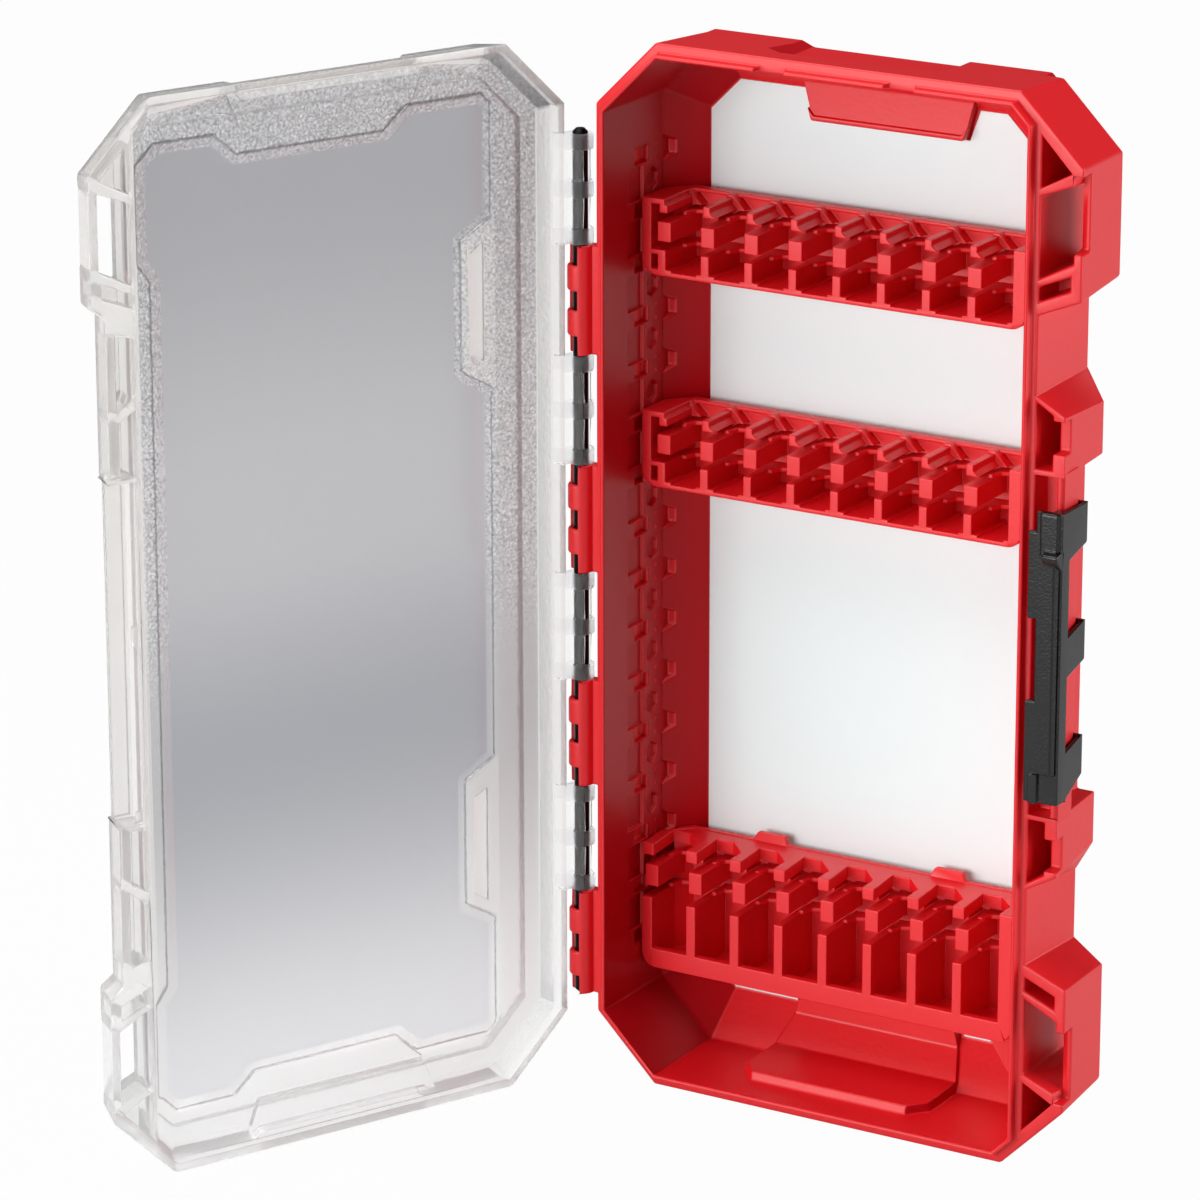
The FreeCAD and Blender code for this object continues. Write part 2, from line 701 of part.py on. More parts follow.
def back_feet(height):
    """Feet that bring the rail's back up to the card."""
    return [box(x, x + 8, rail_back - 0.5, card_plane - 0.2, 3, height - 6) for x in (rail_left + 20.2, rail_right - 28.8)]


def comb_offsets(base_z, height):
    """Heights above a rail's foot at which it meets the gaps of the comb."""
    centres = [mid_height + comb_pitch * (row + 0.5) for row in range(-comb_rows, comb_rows)]
    return [z - base_z for z in centres if base_z + 2 < z < base_z + height - 2]


def upper_rail(base_z):
    """Rail for short bits: dividers, middle bars and hooked fingers over a thin floor."""
    height = upper_height
    top = height + 1
    rail = rail_block(height, rail_corner)
    inner_back = rail_back - plate
    last = upper_first + slot_count * upper_pitch
    left = rail_left + end_wall
    hollow = rail_plan(end_wall, rail_right - last, plate, plate, top)
    cap = box(left, upper_first + 1.9, rail_front - 1, inner_back, height - 1.5, top)
    rail = rail.cut(hollow.cut(cap))
    parts = []
    for i in range(slot_count):
        x = upper_first + i * upper_pitch
        parts.append(box(x, x + upper_divider, rail_front, inner_back + 0.1, 0.5, upper_divider_height))
        parts.append(box(x, x + upper_bar_width, rail_front, inner_back + 0.1, upper_bar_low, upper_bar_high))
        parts += seat_ledges(x + upper_divider, x + upper_pitch, upper_ledges)
        root = inner_back - 3.0
        if i > 0:
            blade = [(x, upper_finger_low), (x + 3.4, upper_finger_low), (x + 1.9, upper_finger_low + 1.3),
                     (x + 1.9, upper_finger_high), (x, upper_finger_high)]
            parts.append(front_prism(blade, rail_front + 1.0, inner_back + 0.1))
        gusset = [(x, height), (x + 1.9, height), (x + 5.4, height - 3.6), (x, height - 3.6)]
        parts.append(front_prism(gusset, root, inner_back + 0.1))
    parts.append(box(left, last, inner_back - 1.2, inner_back + 0.1, height - 1.0, height))
    parts.append(box(left - 0.1, upper_first + 0.1, rail_front, inner_back + 0.1, 5.2, upper_divider_height))
    parts.append(box(8.6, 10.8, rail_front, inner_back - 3, upper_finger_low, height - 1.4))
    rail = rail.multiFuse(parts).common(rail_block(height, rail_corner))
    rail = rail.multiFuse(end_nubs(comb_offsets(base_z, height), height) + back_feet(height))
    slits = []
    for i in range(slot_count):
        x = upper_first + i * upper_pitch
        slits.append(box(x + upper_divider + 1.6, x + upper_pitch - 1.4, rail_front - 1, inner_back,
                         plate - floor_dip, plate + 1))
        if i > 0:
            slits.append(box(x - 1.9, x - 0.9, inner_back - 0.5, rail_back + 1, 9.4, 13.2))
    rail = rail.cut(slits).removeSplitter()
    rail.translate(V(0, 0, base_z))
    return rail


def tall_rail(base_z):
    """Lower rail: tall dividers, middle blocks and a top plate with flared fingers."""
    height = tall_height
    top = height + 1
    rail = rail_block(height, rail_corner)
    inner_back = rail_back - plate
    last = tall_first + (slot_count - 1) * tall_pitch
    left = rail_left + tall_left_wall
    rail = rail.cut(rail_plan(left - rail_left, rail_right - last, plate, plate, top))
    rail = rail.cut(box(rail_left - 1, left, rail_front - 1, inner_back - 1, tall_divider_height + 0.4, top))
    parts = [box(rail_left + 2, rail_right - 2, rail_front, rail_front + 2.2, 0.5, tall_lip)]
    plate_top = tall_plate_top
    for i in range(slot_count):
        x = tall_first + (i - 1) * tall_pitch if i > 0 else left - tall_divider
        if i > 0:
            parts.append(box(x, x + tall_divider, rail_front, inner_back + 0.1, 0.5, tall_divider_height))
        bar = x + 0.6
        parts.append(box(bar, bar + tall_bar_width, rail_front, inner_back + 0.1, tall_bar_low, tall_bar_high))
        notch_back_y = rail_front + tall_notch_depth
        tip = x + tall_finger_width - 0.2
        finger = [(x - 0.2, rail_front), (tip, rail_front), (tip - 0.7, notch_back_y), (tip - 0.7, inner_back + 0.1),
                  (x - 5.2, inner_back + 0.1), (x - 5.2, notch_back_y), (x - 0.2, rail_front + tall_finger_flare)]
        parts.append(plan_prism(finger, tall_finger_low, plate_top))
        parts += seat_ledges(x + tall_divider, tall_first + i * tall_pitch, tall_ledges)
    back_strip = rail_front + tall_notch_depth
    parts.append(box(left - 2, last + 0.1, back_strip, inner_back + 0.1, tall_finger_low, plate_top))
    end_flare = [(last - 5.0, back_strip + 0.1), (last + 0.1, rail_front + tall_finger_flare + 0.6),
                 (last + 0.1, back_strip + 0.1)]
    parts.append(plan_prism(end_flare, tall_finger_low, plate_top))
    for x in (tall_first + tall_pitch - 2.8, tall_first + 5 * tall_pitch - 2.8):
        parts.append(front_prism([(x, height - 1), (x + 10.8, height - 1), (x + 9.6, height + 2.2),
                                  (x + 2.2, height + 2.2)], inner_back, rail_back))
    rail = rail.multiFuse(parts).common(rail_block(height + 3, rail_corner))
    nubs = end_nubs(comb_offsets(base_z, height), tall_divider_height)
    rail = rail.multiFuse(nubs + back_feet(height))
    slits = [box(tall_first + k * tall_pitch - 1.4, tall_first + k * tall_pitch - 0.1, inner_back - 0.5,
                 rail_back + 1, 11.2, 12.6) for k in (1, 4, 6)]
    rail = rail.cut(slits).removeSplitter()
    rail.translate(V(0, 0, base_z))
    return rail


def backing_card():
    """Card on the back panel, notched round the tabs."""
    gap = 0.3
    left = rim_inset + bevel_run_x + gap
    right = tub_right - bevel_run_x - gap
    low = rim_inset + bevel_run_z + gap
    card = front_prism(flat_octagon(left, right, low, panel_cut), card_plane, panel_plane)
    tab = [(pad_centre - tab_half_root - gap - 0.6, low - 1), (pad_centre + tab_half_root + gap + 0.6, low - 1),
           (pad_centre + tab_half_tip + gap, tab_height + gap), (pad_centre - tab_half_tip - gap, tab_height + gap)]
    notch = front_prism(tab, card_plane - 1, panel_plane + 1)
    return card.cut([notch, mirrored(notch)])


def pieces():
    """Every piece of the case by name, in the case frame."""
    return {
        "base_shell": base_shell(),
        "lid_shell": lid_shell(),
        "hinge_pin": hinge_pin(),
        "slide_latch": slide_latch(),
        "upper_bit_rail": upper_rail(upper_rail_z),
        "middle_bit_rail": upper_rail(upper_rail_z - rail_spacing),
        "lower_bit_rail": tall_rail(tall_rail_z),
        "backing_card": backing_card(),
    }


def export(shapes):
    """Moves the origin to the middle of the footprint, writes one file per piece and prints the joints."""
    corners = [vertex.Point for shape in shapes.values() for vertex in shape.Vertexes]
    low = V(min(p.x for p in corners), min(p.y for p in corners), min(p.z for p in corners))
    high = V(max(p.x for p in corners), max(p.y for p in corners), max(p.z for p in corners))
    shift = V(-(low.x + high.x) / 2, -(low.y + high.y) / 2, -low.z)
    os.makedirs("parts", exist_ok=True)
    for name, shape in shapes.items():
        shape.translate(shift)
        shape.exportStep("parts/" + name + ".step")
        print(name, len(shape.Solids), "solid", round(shape.Volume), "mm3", shape.isValid())
    print("size", round(high.x - low.x, 2), round(high.y - low.y, 2), round(high.z - low.z, 2))
    print("case frame at", round(shift.x, 3), round(shift.y, 3), round(shift.z, 3))
    print("pin axis at", round(hinge_x + shift.x, 3), round(shift.y, 3))


export(pieces())
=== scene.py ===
# %% [markdown]
# Tool accessory case, open and upright.
# The solids come from the CAD model. Here they get the soft edges and the plastics of a moulded
# case, and then a camera and a small studio. Everything is in metres, with Z up and the front
# towards -Y.

# %% Load the frame
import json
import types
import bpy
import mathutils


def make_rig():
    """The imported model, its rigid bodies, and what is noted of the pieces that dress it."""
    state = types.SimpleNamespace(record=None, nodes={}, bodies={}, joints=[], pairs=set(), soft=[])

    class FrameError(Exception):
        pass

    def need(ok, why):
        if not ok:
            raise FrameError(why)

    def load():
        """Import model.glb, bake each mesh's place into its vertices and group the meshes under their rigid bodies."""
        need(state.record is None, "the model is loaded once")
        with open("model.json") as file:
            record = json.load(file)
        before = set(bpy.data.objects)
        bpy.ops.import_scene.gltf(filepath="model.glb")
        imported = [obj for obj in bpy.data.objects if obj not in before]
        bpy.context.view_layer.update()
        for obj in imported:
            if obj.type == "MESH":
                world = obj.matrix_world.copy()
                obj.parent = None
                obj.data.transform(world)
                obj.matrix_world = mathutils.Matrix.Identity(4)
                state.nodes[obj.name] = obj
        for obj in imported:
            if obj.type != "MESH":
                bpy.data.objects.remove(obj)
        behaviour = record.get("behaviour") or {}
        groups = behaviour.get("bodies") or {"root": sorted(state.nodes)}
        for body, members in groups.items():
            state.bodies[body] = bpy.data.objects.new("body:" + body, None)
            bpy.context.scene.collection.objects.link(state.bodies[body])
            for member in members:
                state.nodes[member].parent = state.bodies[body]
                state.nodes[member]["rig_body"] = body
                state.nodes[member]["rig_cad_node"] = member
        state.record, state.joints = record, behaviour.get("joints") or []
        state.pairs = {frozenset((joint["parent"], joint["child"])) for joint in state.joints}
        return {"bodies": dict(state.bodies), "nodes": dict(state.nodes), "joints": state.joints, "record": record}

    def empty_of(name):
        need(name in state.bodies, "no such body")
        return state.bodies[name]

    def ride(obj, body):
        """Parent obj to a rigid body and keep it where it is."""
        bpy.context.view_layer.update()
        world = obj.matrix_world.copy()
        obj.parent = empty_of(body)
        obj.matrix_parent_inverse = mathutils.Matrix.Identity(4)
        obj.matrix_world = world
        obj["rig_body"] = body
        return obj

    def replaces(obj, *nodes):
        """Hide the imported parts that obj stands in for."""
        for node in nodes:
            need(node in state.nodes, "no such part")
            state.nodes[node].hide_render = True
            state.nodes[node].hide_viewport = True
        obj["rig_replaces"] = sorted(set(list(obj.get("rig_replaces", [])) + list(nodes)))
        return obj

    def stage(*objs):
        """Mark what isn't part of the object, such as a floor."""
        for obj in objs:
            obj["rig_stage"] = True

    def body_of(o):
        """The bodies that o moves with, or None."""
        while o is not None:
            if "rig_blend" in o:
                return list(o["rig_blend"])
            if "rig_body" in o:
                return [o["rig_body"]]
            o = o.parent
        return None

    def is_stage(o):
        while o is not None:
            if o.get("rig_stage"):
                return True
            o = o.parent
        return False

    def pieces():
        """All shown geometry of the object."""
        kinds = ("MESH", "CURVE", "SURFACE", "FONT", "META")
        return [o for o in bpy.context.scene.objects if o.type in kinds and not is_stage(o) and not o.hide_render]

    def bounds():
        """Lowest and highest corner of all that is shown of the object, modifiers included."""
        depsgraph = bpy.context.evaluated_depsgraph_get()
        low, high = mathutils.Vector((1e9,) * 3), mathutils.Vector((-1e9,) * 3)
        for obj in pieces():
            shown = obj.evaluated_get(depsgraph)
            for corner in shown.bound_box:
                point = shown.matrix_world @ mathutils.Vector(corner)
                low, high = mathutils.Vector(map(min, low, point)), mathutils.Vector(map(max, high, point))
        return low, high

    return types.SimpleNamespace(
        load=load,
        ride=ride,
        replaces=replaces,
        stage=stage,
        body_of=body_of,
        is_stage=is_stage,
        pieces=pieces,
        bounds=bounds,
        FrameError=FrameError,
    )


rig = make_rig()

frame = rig.load()

import json
import math
import bmesh
import bpy
from mathutils import Matrix, Vector

cad_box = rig.bounds()
PIN_TO_CORNER = 0.0042
hinge = next(joint for joint in frame["joints"] if joint["name"] == "lid_hinge")
hinge_axis = Vector((hinge["pos_m"][0], hinge["pos_m"][1], 0.0))
case_corner = hinge_axis + Vector((PIN_TO_CORNER, 0.0, 0.0))
print("tray corner at", [round(v, 4) for v in case_corner])

# %% [markdown]
# Shaders are built from nodes, and three small helpers keep that readable: one adds a named socket
# to a group, one makes a link, and one adds a node that calculates. A Mix node keeps its colour
# sockets at fixed places in its lists, and those places get names here.

# %% Node helpers
MIX_FACTOR, MIX_COLOUR_A, MIX_COLOUR_B, MIX_COLOUR = 0, 6, 7, 2


def add_socket(tree, name, way, kind, value=None):
    socket = tree.interface.new_socket(name=name, in_out=way, socket_type=kind)
    if value is not None:
        socket.default_value = value


def wire(tree, source, output, target, socket):
    tree.links.new(source.outputs[output], target.inputs[socket])


def add_math(tree, operation, *values):
    node = tree.nodes.new("ShaderNodeMath")
    node.operation = operation
    for i, value in enumerate(values):
        if value is not None:
            node.inputs[i].default_value = value
    return node


print("helpers ready")

# %% [markdown]
# The first group is the skin that a mould leaves on plastic. Two noises of different size make its
# height: a fine spark-eroded grain, and a slow wave where the wall has sunk a little while it
# cooled. The group reads Object coordinates, so the skin stays put when a piece moves.

# %% Mould skin group
def make_skin_group():
    tree = bpy.data.node_groups.new("MouldSkin", "ShaderNodeTree")
    add_socket(tree, "Grain Size", "INPUT", "NodeSocketFloat", 900.0)
    add_socket(tree, "Wave Size", "INPUT", "NodeSocketFloat", 60.0)
    add_socket(tree, "Wave Share", "INPUT", "NodeSocketFloat", 0.4)
    add_socket(tree, "Height", "OUTPUT", "NodeSocketFloat")
    add_socket(tree, "Grain", "OUTPUT", "NodeSocketFloat")
    enter = tree.nodes.new("NodeGroupInput")
    leave = tree.nodes.new("NodeGroupOutput")
    place = tree.nodes.new("ShaderNodeTexCoord")
    grain = tree.nodes.new("ShaderNodeTexNoise")
    wave = tree.nodes.new("ShaderNodeTexNoise")
    blend = tree.nodes.new("ShaderNodeMix")
    grain.inputs["Detail"].default_value = 2.0
    wave.inputs["Detail"].default_value = 1.0
    wire(tree, place, "Object", grain, "Vector")
    wire(tree, place, "Object", wave, "Vector")
    wire(tree, enter, "Grain Size", grain, "Scale")
    wire(tree, enter, "Wave Size", wave, "Scale")
    wire(tree, enter, "Wave Share", blend, "Factor")
    wire(tree, grain, "Fac", blend, "A")
    wire(tree, wave, "Fac", blend, "B")
    wire(tree, blend, "Result", leave, "Height")
    wire(tree, grain, "Fac", leave, "Grain")
    return tree


skin_group = make_skin_group()
print("group", skin_group.name)

# %% [markdown]
# The second group is a colour that changes with height, which the lid needs. It holds the smoky tint of the clear
# plastic, and over it a painted reflection: the colour is lightest near the foot, smokiest across the middle, a little
# lighter above that, and smoky again towards the top. The grain of the first group darkens and lightens the colour as
# painted speckle, which stands in for the light and dark dots that a pebbled surface shows when light comes through.
# That shows only from the Head step up, as on the real lid.

# %% Height tint and painted reflection group
TINT_AND_REFLECTION_PARTS = ("Foot Colour", "Middle Colour", "Head Colour", "Top Colour")
# The colour steps from foot to middle, head and top are a painted reflection over the plastic's tint.
PAINTED_REFLECTION_STEPS = (("Middle Colour", 0.012, 0.100),
              ("Head Colour", 0.100, 0.150),
              ("Top Colour", 0.160, 0.240))


def make_tint_and_reflection_group():
    tree = bpy.data.node_groups.new("HeightTintAndPaintedReflection", "ShaderNodeTree")
    for part in TINT_AND_REFLECTION_PARTS:
        add_socket(tree, part, "INPUT", "NodeSocketColor", (0.5, 0.5, 0.5, 1.0))
    add_socket(tree, "Grain", "INPUT", "NodeSocketFloat", 0.5)
    add_socket(tree, "Painted Speckle Contrast", "INPUT", "NodeSocketFloat", 0.0)
    add_socket(tree, "Colour", "OUTPUT", "NodeSocketColor")
    enter = tree.nodes.new("NodeGroupInput")
    leave = tree.nodes.new("NodeGroupOutput")
    place = tree.nodes.new("ShaderNodeTexCoord")
    split = tree.nodes.new("ShaderNodeSeparateXYZ")
    wire(tree, place, "Object", split, "Vector")
    colour, socket = enter, "Foot Colour"
    ramps = {}
    for part, low, high in PAINTED_REFLECTION_STEPS:
        ramp = tree.nodes.new("ShaderNodeMapRange")
        ramp.interpolation_type = "SMOOTHSTEP"
        ramp.inputs["From Min"].default_value = low
        ramp.inputs["From Max"].default_value = high
        mix = tree.nodes.new("ShaderNodeMix")
        mix.data_type = "RGBA"
        wire(tree, split, "Z", ramp, "Value")
        wire(tree, ramp, "Result", mix, MIX_FACTOR)
        wire(tree, colour, socket, mix, MIX_COLOUR_A)
        wire(tree, enter, part, mix, MIX_COLOUR_B)
        colour, socket = mix, MIX_COLOUR
        ramps[part] = ramp
    # From here the grain paints light and dark speckle into the colour, from the Head step up, standing in for light
    # refracted by the pebbles.
    centred = add_math(tree, "SUBTRACT", None, 0.5)
    scaled = add_math(tree, "MULTIPLY")
    faded = add_math(tree, "MULTIPLY")
    factor = add_math(tree, "ADD", 1.0)
    painted_speckle = tree.nodes.new("ShaderNodeVectorMath")
    painted_speckle.operation = "SCALE"
    wire(tree, enter, "Grain", centred, 0)
    wire(tree, centred, 0, scaled, 0)
    wire(tree, enter, "Painted Speckle Contrast", scaled, 1)
    wire(tree, scaled, 0, faded, 0)
    wire(tree, ramps["Head Colour"], "Result", faded, 1)
    wire(tree, faded, 0, factor, 1)
    wire(tree, colour, socket, painted_speckle, 0)
    wire(tree, factor, 0, painted_speckle, "Scale")
    wire(tree, painted_speckle, 0, leave, "Colour")
    return tree


tint_and_reflection_group = make_tint_and_reflection_group()
print("group", tint_and_reflection_group.name)

# %% [markdown]
# The third group is a mask of level rings round the hinge. It takes a point's depth below the top
# knuckle group, repeats that at each group, and folds it into the distance from the nearest ring.

# %% Ring mask group
RING_LENGTHS = (("Top", 0.2382),
                ("Group Pitch", 0.0544),
                ("First Ring", 0.00195),
                ("Half Spacing", 0.005825),
                ("Half Height", 0.00195))


def make_ring_group():
    tree = bpy.data.node_groups.new("RingMask", "ShaderNodeTree")
    for part, value in RING_LENGTHS:
        add_socket(tree, part, "INPUT", "NodeSocketFloat", value)
    add_socket(tree, "Mask", "OUTPUT", "NodeSocketFloat")
    enter = tree.nodes.new("NodeGroupInput")
    leave = tree.nodes.new("NodeGroupOutput")
    place = tree.nodes.new("ShaderNodeTexCoord")
    split = tree.nodes.new("ShaderNodeSeparateXYZ")
    down = add_math(tree, "SUBTRACT")
    within = add_math(tree, "MODULO")
    past = add_math(tree, "SUBTRACT")
    off = add_math(tree, "PINGPONG")
    mask = add_math(tree, "LESS_THAN")
    wire(tree, place, "Object", split, "Vector")
    wire(tree, enter, "Top", down, 0)
    wire(tree, split, "Z", down, 1)
    wire(tree, down, 0, within, 0)
    wire(tree, enter, "Group Pitch", within, 1)
    wire(tree, within, 0, past, 0)
    wire(tree, enter, "First Ring", past, 1)
    wire(tree, past, 0, off, 0)
    wire(tree, enter, "Half Spacing", off, 1)
    wire(tree, off, 0, mask, 0)
    wire(tree, enter, "Half Height", mask, 1)
    wire(tree, mask, 0, leave, "Mask")
    return tree


ring_group = make_ring_group()
print("group", ring_group.name)

# %% [markdown]
# Each plastic is one Principled shader with the mould skin as bump. An image could carry the grain too, but noise
# needs no file and no unwrapping. The red is a satin moulded plastic that lets a little light in at its thin edges.
# The tray's inside is smoother, and darker in colour as painted shade, the latch is near black, and the card and the
# wire need hardly any skin.

# %% Opaque plastics
BUMP_HEIGHT = 0.0004


def plastic(name, colour, roughness, grain_size=900.0, wave_size=60.0, wave_share=0.4, bump=0.1):
    material = bpy.data.materials.new(name)
    material.use_nodes = True
    tree = material.node_tree
    shader = tree.nodes["Principled BSDF"]
    shader.inputs["Base Color"].default_value = (*colour, 1.0)
    shader.inputs["Roughness"].default_value = roughness
    skin = tree.nodes.new("ShaderNodeGroup")
    skin.name = "Skin"
    skin.node_tree = skin_group
    skin.inputs["Grain Size"].default_value = grain_size
    skin.inputs["Wave Size"].default_value = wave_size
    skin.inputs["Wave Share"].default_value = wave_share
    relief = tree.nodes.new("ShaderNodeBump")
    relief.inputs["Strength"].default_value = bump
    relief.inputs["Distance"].default_value = BUMP_HEIGHT
    wire(tree, skin, "Height", relief, "Height")
    wire(tree, relief, "Normal", shader, "Normal")
    return material


def set_shader(material, values):
    inputs = material.node_tree.nodes["Principled BSDF"].inputs
    for socket, value in values.items():
        inputs[socket].default_value = value


red_plastic = plastic("RedPlastic", (0.74, 0.004, 0.010), 0.42,
                      wave_size=90.0, wave_share=0.45, bump=0.2)
set_shader(red_plastic, {"Subsurface Weight": 0.1, "Subsurface Radius": (1.0, 0.08, 0.06),
                         "Subsurface Scale": 0.003, "Specular IOR Level": 0.62})
# The darker red of the tray's inside is painted shade; its lower roughness is real.
red_inside_painted_shade = plastic("RedInsidePaintedShade", (0.44, 0.001, 0.006), 0.36, grain_size=400.0, bump=0.03)
set_shader(red_inside_painted_shade, {"Specular IOR Level": 0.3})
black_plastic = plastic("BlackPlastic", (0.004, 0.004, 0.004), 0.27,
                        grain_size=1800.0, wave_share=0.05, bump=0.25)
set_shader(black_plastic, {"Specular IOR Level": 0.45})
card_paper = plastic("CardPaper", (0.80, 0.91, 0.91), 0.6, bump=0.02)
steel_wire = plastic("SteelWire", (0.012, 0.012, 0.013), 0.3, bump=0.02)
set_shader(steel_wire, {"Metallic": 1.0})
print("materials", [m.name for m in bpy.data.materials])

# %% [markdown]
# The lid is one milky see-through moulding. Most of it has one of three finishes: a smooth smoky middle, a pebbled
# border, and bright satin edges. All let light through, and they differ in tint, roughness and grain. Each tint also
# carries a painted reflection that changes with height, and the grain paints a light and dark speckle into it.

# %% See-through plastics
def clear_plastic(name, tints_and_reflection, roughness, see_through, grain_size, painted_speckle_contrast, bump, ior=1.45):
    material = plastic(name, tints_and_reflection[1], roughness, grain_size=grain_size, wave_share=0.1, bump=bump)
    tree = material.node_tree
    tint_and_reflection = tree.nodes.new("ShaderNodeGroup")
    tint_and_reflection.name = "Tint"
    tint_and_reflection.node_tree = tint_and_reflection_group
    for part, value in zip(TINT_AND_REFLECTION_PARTS, tints_and_reflection):
        tint_and_reflection.inputs[part].default_value = (*value, 1.0)
    tint_and_reflection.inputs["Painted Speckle Contrast"].default_value = painted_speckle_contrast
    wire(tree, tree.nodes["Skin"], "Grain", tint_and_reflection, "Grain")
    wire(tree, tint_and_reflection, "Colour", tree.nodes["Principled BSDF"], "Base Color")
    set_shader(material, {"Transmission Weight": see_through, "IOR": ior})
    return material


# Each finish's four colours, foot to top, are its real tint with a painted reflection that changes with height.
panel_tints_and_reflection = ((0.83, 0.83, 0.85), (0.43, 0.44, 0.47), (0.57, 0.57, 0.59), (0.43, 0.43, 0.45))
border_tints_and_reflection = ((0.98, 0.98, 0.98), (0.60, 0.60, 0.61), (0.65, 0.65, 0.66), (0.55, 0.55, 0.56))
edge_tints_and_reflection = ((0.97, 0.97, 0.97), (0.91, 0.90, 0.89), (0.91, 0.90, 0.88), (0.88, 0.87, 0.85))
lid_panel = clear_plastic("LidPanel", panel_tints_and_reflection, roughness=0.08, see_through=0.88,
                          grain_size=500.0, painted_speckle_contrast=0.0, bump=0.02)
lid_border = clear_plastic("LidBorder", border_tints_and_reflection, roughness=0.20, see_through=0.80,
                           grain_size=1500.0, painted_speckle_contrast=2.4, bump=0.3)
lid_edge = clear_plastic("LidEdge", edge_tints_and_reflection, roughness=0.22, see_through=0.78,
                         grain_size=900.0, painted_speckle_contrast=0.15, bump=0.08)
print("lid finishes", lid_panel.name, lid_border.name, lid_edge.name)

# %% [markdown]
# The lid's knuckles are nearly clear, so that the dark pin shows through them, with frosted rings
# where the plastic is thick. The ring mask mixes both in one material. The low index of refraction
# is a trick: at the true one, light is reflected inside the small knuckle and hides the pin.

# %% Knuckles of the lid
def frost_rings(material, clear_roughness, frosted_roughness, frosted_colour):
    tree = material.node_tree
    shader = tree.nodes["Principled BSDF"]
    rings = tree.nodes.new("ShaderNodeGroup")
    rings.node_tree = ring_group
    frost = tree.nodes.new("ShaderNodeMix")
    frost.inputs["A"].default_value = clear_roughness
    frost.inputs["B"].default_value = frosted_roughness
    veil = tree.nodes.new("ShaderNodeMix")
    veil.data_type = "RGBA"
    veil.inputs[MIX_COLOUR_B].default_value = (*frosted_colour, 1.0)
    wire(tree, rings, "Mask", frost, "Factor")
    wire(tree, frost, "Result", shader, "Roughness")
    wire(tree, rings, "Mask", veil, MIX_FACTOR)
    wire(tree, tree.nodes["Tint"], "Colour", veil, MIX_COLOUR_A)
    wire(tree, veil, MIX_COLOUR, shader, "Base Color")


knuckle_tints = ((0.97, 0.97, 0.97),) * 4
lid_knuckle = clear_plastic("LidKnuckle", knuckle_tints, roughness=0.10, see_through=0.95,
                            grain_size=900.0, painted_speckle_contrast=0.0, bump=0.05, ior=1.12)
frost_rings(lid_knuckle, clear_roughness=0.08, frosted_roughness=0.85,
            frosted_colour=(0.84, 0.84, 0.85))
print("rings on", lid_knuckle.name)

# %% [markdown]
# A moulded part has no razor edges, so the edges of every piece get rounded. That needs whole
# faces, and a CAD node is a cloud of loose triangles. This helper finds the triangles that make up
# one flat face. It keeps them as the keys of a dictionary, because a set of faces has no fixed
# order, and each run should build the same mesh.

# %% Triangles of one flat face
SAME_PLANE = 0.007


def flat_group(seed, seen):
    """Triangles that lie in the plane of the seed and hang together with it."""
    group = {seed: True}
    front = [seed]
    while front:
        face = front.pop()
        for edge in face.edges:
            for other in edge.link_faces:
                if other in group or other in seen:
                    continue
                if other.normal.angle(seed.normal, math.pi) < SAME_PLANE:
                    group[other] = True
                    front.append(other)
    return group


print("same plane below", SAME_PLANE, "radians")

# %% [markdown]
# Most flat faces can be joined into one face again. One with a hole stays in triangles, because a
# face can't have a hole, and so does a thin band round a corner, which rounds better that way.

# %% Faces that can be joined
FILLED_SHARE = 0.62


def has_one_border(group):
    """True where the group's border is a single loop, so that one face can take its place."""
    border = [edge for face in group for edge in face.edges
              if sum(1 for other in edge.link_faces if other in group) == 1]
    at = {}
    for edge in border:
        for vert in edge.verts:
            at.setdefault(vert, []).append(edge)
    if any(len(edges) != 2 for edges in at.values()):
        return False
    walked = {border[0]}
    front = [border[0]]
    while front:
        for vert in front.pop().verts:
            for edge in at[vert]:
                if edge not in walked:
                    walked.add(edge)
                    front.append(edge)
    return len(walked) == len(border)


def fills_its_box(group):
    """False for a thin band that runs round a corner."""
    points = [vert.co for face in group for vert in face.verts]
    spans = sorted(max(p[i] for p in points) - min(p[i] for p in points) for i in range(3))
    return sum(face.calc_area() for face in group) > FILLED_SHARE * spans[1] * spans[2]


print("filled share of a face to join, at least", FILLED_SHARE)

# %% [markdown]
# Each piece starts as a copy of its CAD node. The copy is welded, its faces are numbered by plane
# and joined where they can be, and points in the middle of a straight edge are dropped.

# %% Welded copy of a node
WELD_DISTANCE = 2e-6
STRAIGHT_ON = 0.01


def merged_copy(node):
    """Copy of a CAD node, welded and with its flat faces joined; each face knows its plane."""
    shape = bmesh.new()
    shape.from_mesh(frame["nodes"][node].data)
    bmesh.ops.remove_doubles(shape, verts=shape.verts, dist=WELD_DISTANCE)
    shape.normal_update()
    plane = shape.faces.layers.int.new("plane")
    seen = set()
    joined = []
    for face in shape.faces:
        if face not in seen:
            group = flat_group(face, seen)
            seen.update(group)
            number = len(seen)
            for member in group:
                member[plane] = number
            if len(group) > 1 and fills_its_box(group) and has_one_border(group):
                joined.append(list(group))
    for group in joined:
        bmesh.ops.dissolve_faces(shape, faces=group)
    idle = [vert for vert in shape.verts
            if len(vert.link_edges) == 2 and vert.calc_edge_angle(math.pi) < STRAIGHT_ON]
    bmesh.ops.dissolve_verts(shape, verts=idle)
    return shape


print("weld distance", WELD_DISTANCE, "m")

# %% [markdown]
# A bevel with one width would tear thin ribs, so the room for it is measured first. In each of an
# edge's two planes, the room is how far the nearest corner lies from it, looking straight in. Where
# another sharp edge leaves the same corner at a narrow angle, the room at that corner counts too,
# and so does a corner that lies close by in a plane that the edge only touches with its end.

